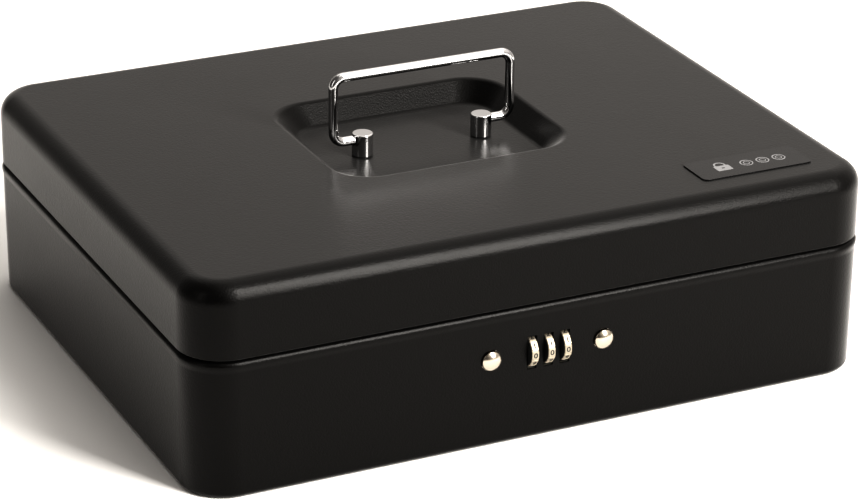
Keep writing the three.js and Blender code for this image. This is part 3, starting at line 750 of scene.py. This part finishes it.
def handle_bail():
    box = Box("handle_bail")
    bend, foot_end = 4.8, 26.2
    side = box.size.x / 2 - WIRE - bend
    axis, grip = box.low.z + WIRE, box.high.z - WIRE
    path = [(-foot_end + 0.001 + 0.2 * i, axis) for i in (0, -1, -3)]
    path += arc((-side, axis + bend), bend, 270, 180, 16)
    path += arc((-side, grip - bend), bend, 180, 90, 16)
    path += arc((side, grip - bend), bend, 90, 0, 16)
    path += arc((side, axis + bend), bend, 0, -90, 16)
    path += [(foot_end - 0.001 - 0.2 * i, axis) for i in (-3, -1, 0)]
    points = [Vector((box.middle.x + x, box.middle.y, z)) for x, z in path]
    mesh = swept("handle_bail", points, WIRE, 28, flat_normal=Vector((0, 1, 0)))
    add_piece("handle_wire", mesh, "handle", "chrome", ["handle_bail"], angle=40)


def handle_posts():
    """Turned posts, each with a blind cross bore for a foot of the handle."""
    wire_z = Box("handle_bail").low.z + WIRE
    radius, rivet_radius, shank, rounding = 4.5, 3.9, 2.5, 0.6
    bore_radius, bore_mouth, bore_end = 2.3, 7.0, -1.9  # along X from the post's axis, outwards
    for name, side in (("left", -1), ("right", 1)):
        box = Box(f"handle_post_{name}")
        floor = TOP - RECESS["drop"] + FIT
        washer = Box(f"post_washer_{name}")
        rivet = washer.low.z - FIT
        profile = [
            (0, box.low.z), (2.6, box.low.z), (3.5, box.low.z + 0.25),
            (rivet_radius, rivet - 0.2), (rivet_radius, rivet), (shank, rivet), (shank, floor),
            (radius - 0.3, floor), (radius, floor + 0.3),
            *arc((radius - rounding, box.high.z - rounding), rounding, 0, 90, 6),
            (0, box.high.z),
        ]
        foot = Vector((box.middle.x, box.middle.y, 0))
        post = turned("post", profile, foot, Vector((0, 0, 1)), 72)
        length = bore_mouth - bore_end
        bore = turned(
            "bore", [(0, 0), (bore_radius, 0), (bore_radius, length), (0, length)],
            Vector((box.middle.x + side * bore_end, box.middle.y, wire_z)),
            Vector((side, 0, 0)), 40,
        )
        add_piece(
            f"handle_stud_{name}", carved(post, [bore]), "lid", "chrome",
            [f"handle_post_{name}"], angle=30,
        )


def washers():
    for name in SIDES:
        box = Box(f"post_washer_{name}")
        outer, bore, ease = box.size.x / 2, SHANK_BORE, 0.2
        low, high = box.low.z, box.high.z
        profile = [
            (bore, low + ease), (bore + ease, low), (outer - ease, low), (outer, low + ease),
            (outer, high - ease), (outer - ease, high), (bore + ease, high),
            (bore, high - ease),
        ]
        centre = Vector((box.middle.x, box.middle.y, 0))
        mesh = turned("washer", profile, centre, Vector((0, 0, 1)), 48)
        add_piece(f"washer_{name}", mesh, "lid", "zinc", [f"post_washer_{name}"], angle=50)


# ---- Label --------------------------------------------------------------------------------------

def outline_plate(name, outline, low, high, ease=0.0):
    """A flat plate with an (x, y) outline about the label's middle, its top edge eased."""
    rings = [[(x, y, low) for x, y in outline], [(x, y, high - ease) for x, y in outline]]
    if ease:
        middle_x = sum(x for x, _ in outline) / len(outline)
        middle_y = sum(y for _, y in outline) / len(outline)
        rings.append([
            (x - math.copysign(ease, x - middle_x), y - math.copysign(ease, y - middle_y), high)
            for x, y in outline
        ])
    return lofted(name, rings)


def rounded_outline(x0, y0, x1, y1, radius, steps=8):
    return [
        *arc((x1 - radius, y0 + radius), radius, -90, 0, steps),
        *arc((x1 - radius, y1 - radius), radius, 0, 90, steps),
        *arc((x0 + radius, y1 - radius), radius, 90, 180, steps),
        *arc((x0 + radius, y0 + radius), radius, 180, 270, steps),
    ]


def band(name, outer, inner, low, high):
    """The flat band between two outlines with the same number of points."""
    rings = [
        [(x, y, low) for x, y in outer], [(x, y, high) for x, y in outer],
        [(x, y, high) for x, y in inner], [(x, y, low) for x, y in inner],
    ]
    return lofted(name, rings, closed=True)


def label():
    box = Box("label_plate")
    radius, print_proud, print_sunk = 2.5, 0.03, 0.02
    outline = rounded_outline(box.low.x, box.low.y, box.high.x, box.high.y, radius)
    print_top = box.high.z
    film_top = print_top - print_proud
    plate = outline_plate("label", outline, box.low.z, film_top, ease=0.12)
    add_piece("label_film", plate, "lid", "label_film", ["label_plate"], angle=50)
    mesh = merged("label_print", label_prints(box, film_top - print_sunk, print_top))
    mesh.materials.clear()
    mesh.materials.append(LABEL_INK)
    piece = add_piece("label_print", mesh, "lid", "label_film", [], angle=50)
    piece.modifiers.clear()


def label_prints(box, low, high):
    """A plain padlock sign and a row of three coin rings."""
    x, y = box.low.x + 13.5, box.middle.y
    half_width, half_height, line = 3.5, 2.5, 0.75
    body = rounded_outline(x - half_width, y - 3.6, x + half_width, y - 3.6 + 2 * half_height, 0.6)
    keyhole = arc((x, y - 1.1), 0.8, -90, 270, 35)
    shackle_outer = [(x + 2.6, y + 1.4), *arc((x, y + 2.2), 2.6, 0, 180, 16), (x - 2.6, y + 1.4)]
    shackle_inner = [
        (x + 2.6 - line, y + 1.4), *arc((x, y + 2.2), 2.6 - line, 0, 180, 16),
        (x - 2.6 + line, y + 1.4),
    ]
    shackle = [*shackle_outer, *reversed(shackle_inner)]
    prints = [
        band("padlock", body, matched(keyhole, body), low, high),
        outline_plate("shackle", shackle, low, high),
    ]
    first_coin, pitch, sides = 11.5, 7.6, 40
    for i in range(3):
        centre = (x + first_coin + pitch * i, y)
        for radii in ((2.9, 2.35), (1.5, 1.1)):
            outer, inner = (
                arc(centre, radius, 0, 360 * (sides - 1) / sides, sides - 1) for radius in radii
            )
            prints.append(band("coin", outer, inner, low, high))
    return prints


def matched(loop, outline):
    """The loop's points in the order of the outline's directions from the loop's middle."""
    middle = Vector((
        sum(x for x, _ in loop) / len(loop), sum(y for _, y in loop) / len(loop)
    ))
    radius = (Vector(loop[0]) - middle).length
    points = []
    for x, y in outline:
        away = (Vector((x, y)) - middle).normalized()
        points.append(tuple(middle + away * radius))
    return points


# ---- Hinges -------------------------------------------------------------------------------------

def hinges():
    for name in SIDES:
        refined(
            f"hinge_lower_{name}", f"hinge_leaf_base_{name}", "base", "black_paint", bevel=0.15
        )
        refined(
            f"hinge_upper_{name}", f"hinge_leaf_lid_{name}", "lid", "black_paint", bevel=0.15
        )
        box = Box(f"hinge_pin_{name}")
        shaft, head, head_length = 1.2, box.size.y / 2, 0.6
        start, end = box.low.x, box.high.x
        under = start + head_length
        profile = [
            (0, start), (head - 0.3, start), (head, start + 0.25), (head, under),
            (shaft, under), (shaft, end - 0.35), (shaft - 0.35, end), (0, end),
        ]
        axis = Vector((0, box.middle.y, box.middle.z))
        mesh = turned("pin", profile, axis, Vector((1, 0, 0)), 40)
        add_piece(f"hinge_rod_{name}", mesh, "base", "zinc", [f"hinge_pin_{name}"], angle=50)


# ---- Number wheels ------------------------------------------------------------------------------

DIAL_FACES = 10
APOTHEM = 6.5  # from a wheel's axis to its flats
WHEEL_BORE = 1.1
DIGIT = {"size": 3.05, "bolder": 0.09, "widen": 1.18, "depth": 0.14, "reach": 0.3}


def digit_cutter(digit, centre, angle):
    """A digit as a shallow cutter on the flat that looks along an angle in (y, z)."""
    letters = bpy.data.curves.new("digit", "FONT")
    letters.body = str(digit)
    letters.size = DIGIT["size"] * MM
    letters.align_x = "CENTER"
    letters.align_y = "CENTER"
    letters.offset = DIGIT["bolder"] * MM
    letters.extrude = DIGIT["reach"] * MM
    letters.resolution_u = 4
    holder = bpy.data.objects.new("digit", letters)
    scene.collection.objects.link(holder)
    bpy.context.view_layer.update()
    mesh = evaluated(holder)
    discard(holder)
    middle = sum((v.co for v in mesh.vertices), Vector()) / len(mesh.vertices)
    xs = [v.co.x for v in mesh.vertices]
    ys = [v.co.y for v in mesh.vertices]
    middle.x, middle.y = (min(xs) + max(xs)) / 2, (min(ys) + max(ys)) / 2
    outward = Vector((0, math.cos(angle), math.sin(angle)))
    across = Vector((1, 0, 0))
    upward = outward.cross(across)
    turn = Matrix((across, upward, outward)).transposed().to_4x4()
    at = centre + outward * (APOTHEM - DIGIT["depth"] + DIGIT["reach"])
    widen = Matrix.Diagonal((DIGIT["widen"], 1, 1, 1))
    mesh.transform(Matrix.Translation(at * MM) @ turn @ widen @ Matrix.Translation(-middle))
    form = bmesh.new()
    form.from_mesh(mesh)
    bmesh.ops.remove_doubles(form, verts=form.verts, dist=0.001 * MM)
    bmesh.ops.recalc_face_normals(form, faces=form.faces)
    form.to_mesh(mesh)
    form.free()
    mesh.materials.clear()
    mesh.materials.append(ENGRAVING)
    return mesh


def wheel_outline(radius_change):
    """The wheel's outline in (y, z) about its axis, with a groove between its flats."""
    lip_turn, brow_turn, foot_turn = 0.09, 0.05, 0.035
    half = math.pi / DIAL_FACES
    lip = (APOTHEM + radius_change) / math.cos(half - lip_turn)
    brow, foot = lip - 0.03, lip - 0.32
    points = []
    for face in range(DIAL_FACES):
        angle = math.pi + 2 * half * face + half
        for turn, radius in (
            (-lip_turn, lip), (-brow_turn, brow), (-foot_turn, foot),
            (foot_turn, foot), (brow_turn, brow), (lip_turn, lip),
        ):
            points.append((radius * math.cos(angle + turn), radius * math.sin(angle + turn)))
    return points


def number_wheel(centre, half_width):
    """One wheel: nickel flats with filled digits, near-black sides and a bore."""
    ease = 0.3
    levels = [
        (-half_width, -ease), (-half_width + ease, 0.0), (half_width - ease, 0.0),
        (half_width, -ease),
    ]
    rings = [
        [(centre.x + x, centre.y + y, centre.z + z) for y, z in wheel_outline(change)]
        for x, change in levels
    ]
    wheel = lofted("wheel", rings)
    wheel.materials.append(WHEEL_NICKEL)
    wheel.materials.append(NEAR_BLACK_DIAL)
    for face in wheel.polygons:
        if abs(face.normal.x) > 0.9:
            face.material_index = 1
    end = half_width + 1
    bore = turned(
        "bore", [(0, -end), (WHEEL_BORE, -end), (WHEEL_BORE, end), (0, end)],
        Vector(centre), Vector((1, 0, 0)), 40,
    )
    bore.materials.append(NEAR_BLACK_DIAL)
    digits = [
        digit_cutter(k, centre, math.pi - 2 * math.pi * k / DIAL_FACES)
        for k in range(DIAL_FACES)
    ]
    return carved(wheel, [bore, *digits], crossing=True)


def number_wheels():
    middle = Box("dial_middle")
    pattern = number_wheel(middle.middle, middle.size.x / 2)
    for name in WHEELS:
        box = Box(f"dial_{name}")
        mesh = pattern.copy()
        mesh.transform(Matrix.Translation((box.middle - middle.middle) * MM))
        add_piece(
            f"number_wheel_{name}", mesh, f"{name}_dial", "nickel", [f"dial_{name}"], angle=24
        )
        refined(
            f"clutch_disc_{name}", f"clutch_{name}", f"{name}_dial", "zinc", bevel=0.12
        )


# ---- Push buttons and the lock's works ----------------------------------------------------------

def push_buttons():
    """Domed heads on stems, each with a flange behind the wall and a riveted tail."""
    head, dome, stem, neck, tail_radius, flange = BUTTON_RADIUS, 1.5, 2.2, 1.4, 2.0, 5.2
    flange_back, flange_front = 117.2, 118.1  # in front of the box's middle
    for name in SIDES:
        box = Box(f"button_{name}")
        axis = Vector((box.middle.x, 0, box.middle.z))
        rim = -box.low.y - dome
        tail = -box.high.y
        sphere = (head ** 2 + dome ** 2) / (2 * dome)
        radii = [(head - 0.12) * (15 - i) / 15 for i in range(1, 15)]
        crown = [(r, rim + math.sqrt(sphere ** 2 - r ** 2) - sphere + dome) for r in radii]
        profile = [
            (0, tail), (1.5, tail), (1.9, tail + 0.15), (tail_radius, tail + 0.4),
            (tail_radius, tail + 0.8), (neck, tail + 0.8), (neck, tail + 2.8),
            (stem, tail + 2.8), (stem, flange_back), (flange - 0.2, flange_back),
            (flange, flange_back + 0.2), (flange, flange_front - 0.2),
            (flange - 0.2, flange_front), (head, flange_front),
            (head, rim - 0.25), (head - 0.03, rim - 0.05), (head - 0.1, rim + 0.07),
            *crown, (0, rim + dome),
        ]
        mesh = turned("button", profile, axis, Vector((0, -1, 0)), 72)
        add_piece(
            f"push_button_{name}", mesh, f"{name}_button", "nickel", [f"button_{name}"],
            angle=34,
        )


def return_springs():
    """Coils with flat end turns."""
    wire, turns, per_turn, end_turns = 0.35, 4.25, 28, 0.8
    for name in SIDES:
        box = Box(f"button_spring_{name}")
        radius = box.size.x / 2 - wire
        start, end = box.low.y + wire, box.high.y - wire
        count = int(turns * per_turn)
        points = []
        for i in range(count + 1):
            t = i / count
            climb = min(max((t * turns - end_turns) / (turns - 2 * end_turns), 0), 1)
            angle = 2 * math.pi * turns * t
            points.append(Vector((
                box.middle.x + radius * math.cos(angle),
                start + (end - start) * climb,
                box.middle.z + radius * math.sin(angle),
            )))
        mesh = swept("spring", points, wire, 12)
        piece = add_piece(
            f"return_spring_{name}", mesh, "base", "spring_steel",
            [f"button_spring_{name}"], angle=60,
        )
        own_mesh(piece)


def lock_screws():
    """Pan head screws with a cross cut in the head."""
    shaft, head_height, depth, arm, half = 1.6, 2.1, 1.3, 1.7, 0.36
    for name in SIDES:
        box = Box(f"lock_screw_{name}")
        axis = Vector((box.middle.x, 0, box.middle.z))
        tip, crown = box.low.y, box.high.y
        head = box.size.x / 2
        under = crown - head_height
        profile = [
            (0, tip), (0.9, tip), (shaft, tip + 0.3), (shaft, under), (head - 0.15, under),
            (head, under + 0.2), (head, under + 0.8), (head - 0.35, under + 1.5),
            (head - 1.1, under + 1.95), (head - 2.0, crown), (0, crown),
        ]
        mesh = turned("screw", profile, axis, Vector((0, 1, 0)), 48)
        centre = Vector((box.middle.x, crown, box.middle.z))
        for x, z in ((arm, half), (half, arm)):
            slot = block(centre + Vector((-x, -depth, -z)), centre + Vector((x, 1, z)))
            mesh = carved(mesh, [slot])
        add_piece(
            f"case_screw_{name}", mesh, "base", "zinc", [f"lock_screw_{name}"], angle=34
        )


def lock_works():
    """The case and what works in it: wheel frame, detent, latch, lever, keeper, axle and clip."""
    refined("lock_housing", "lock_case", "base", "zinc", bevel=0.3, steps=3)
    refined("wheel_frame", "dial_frame", "base", "zinc", bevel=0.2)
    refined("wheel_detent", "detent_spring", "base", "spring_steel", bevel=0.1)
    refined("latch_slider", "latch_plate", "latch", "zinc", bevel=0.2)
    refined("code_lever", "change_lever", "code_lever", "zinc", bevel=0.15)
    refined("lid_catch", "lid_keeper", "lid", "zinc", bevel=0.2)
    axle = Box("dial_axle")
    shaft, head, head_length = 0.8, axle.size.y / 2, 1.2
    start, end = axle.low.x, axle.high.x
    under = start + head_length
    profile = [
        (0, start), (head - 0.25, start), (head, start + 0.25), (head, under),
        (shaft, under), (shaft, end - 0.3), (shaft - 0.3, end), (0, end),
    ]
    centre = Vector((0, axle.middle.y, axle.middle.z))
    mesh = turned("axle", profile, centre, Vector((1, 0, 0)), 40)
    add_piece("wheel_axle", mesh, "base", "zinc", ["dial_axle"], angle=50)
    clip = Box("axle_clip")
    outer, bore, ease = clip.size.y / 2, 0.95, 0.12
    low, high = clip.low.x, clip.high.x
    profile = [
        (bore, low), (outer - ease, low), (outer, low + ease), (outer, high - ease),
        (outer - ease, high), (bore, high),
    ]
    mesh = turned("clip", profile, centre, Vector((1, 0, 0)), 40)
    add_piece("retaining_ring", mesh, "base", "spring_steel", ["axle_clip"], angle=50)


# ---- Tray and ledges ----------------------------------------------------------------------------

def coin_tray():
    refined("coin_insert", "coin_tray", "tray", "black_plastic", bevel=0.5, steps=3)


def tray_ledges():
    for name in SIDES:
        refined(f"ledge_{name}", f"tray_ledge_{name}", "base", "black_paint", bevel=0.3)


# ---- Studio -------------------------------------------------------------------------------------

def studio_floor():
    """Pale paper; its size is in metres."""
    half = 30
    mesh = bpy.data.meshes.new("studio_floor")
    mesh.from_pydata(
        [(-half, -half, 0), (half, -half, 0), (half, half, 0), (-half, half, 0)],
        [], [(0, 1, 2, 3)],
    )
    floor = bpy.data.objects.new("studio_floor", mesh)
    scene.collection.objects.link(floor)
    shader = Shader("paper", (0.9, 0.895, 0.885), 0.85, Specular_IOR_Level=0.1)
    shader.bump((shader.noise(1.5, detail=2.0), 0.01))
    mesh.materials.append(shader.material)


def studio_world():
    """Soft surroundings: brighter to the right of the box, and brighter up than level."""
    world = bpy.data.worlds.new("studio")
    scene.world = world
    world.use_nodes = True
    tree = world.node_tree
    place = tree.nodes.new("ShaderNodeTexCoord")
    axes = tree.nodes.new("ShaderNodeSeparateXYZ")
    tree.links.new(place.outputs["Generated"], axes.inputs[0])
    strength = tree.nodes.new("ShaderNodeMath")
    strength.operation = "MULTIPLY"
    fades = (("X", -0.5, 0.6, 0.1, 0.85), ("Z", 0.25, 0.5, 0.66, 1.14))
    for socket, (axis, low, high, darkest, brightest) in zip(strength.inputs, fades):
        fade = tree.nodes.new("ShaderNodeMapRange")
        fade.interpolation_type = "SMOOTHSTEP"
        fade.inputs["From Min"].default_value = low
        fade.inputs["From Max"].default_value = high
        fade.inputs["To Min"].default_value = darkest
        fade.inputs["To Max"].default_value = brightest
        tree.links.new(axes.outputs[axis], fade.inputs["Value"])
        tree.links.new(fade.outputs["Result"], socket)
    background = tree.nodes["Background"]
    background.inputs["Color"].default_value = (1, 0.94, 0.885, 1)
    tree.links.new(strength.outputs["Value"], background.inputs["Strength"])


def softbox(name, azimuth, elevation, distance, spread, radiance):
    """A rectangular light; azimuth in degrees from straight behind, to the right.

    Its spread is the width and height in degrees that it takes up as the box sees it.
    """
    turn, rise = math.radians(azimuth), math.radians(elevation)
    direction = Vector((
        math.sin(turn) * math.cos(rise), math.cos(turn) * math.cos(rise), math.sin(rise)
    ))
    light = bpy.data.lights.new(name, "AREA")
    light.shape = "RECTANGLE"
    light.size, light.size_y = (
        2 * distance * math.tan(math.radians(angle) / 2) for angle in spread
    )
    light.energy = radiance * math.pi * light.size * light.size_y
    light.color = (1, 0.965, 0.92)
    holder = bpy.data.objects.new(name, light)
    holder.location = Vector((0, 0, TOP / 2 * MM)) + direction * distance
    holder.rotation_euler = direction.to_track_quat("Z", "Y").to_euler()
    scene.collection.objects.link(holder)


def studio():
    """Lights, floor and tone curve; the softboxes' distances are in metres."""
    scene.view_settings.view_transform = "Standard"
    scene.view_settings.look = "High Contrast"
    studio_floor()
    studio_world()
    softbox("key_softbox", 156, 36, 1.3, (15, 42), 28)
    softbox("left_softbox", 252, 26, 2.0, (10, 36), 2)
    softbox("rear_softbox", 30, 56, 2.0, (60, 44), 0.6)
    softbox("top_softbox", 110, 74, 1.5, (50, 50), 0.7)


# ---- Assembly -----------------------------------------------------------------------------------

base_shell()
lid_shell()
handle_bail()
handle_posts()
washers()
label()
hinges()
number_wheels()
push_buttons()
return_springs()
lock_screws()
lock_works()
coin_tray()
tray_ledges()
studio()
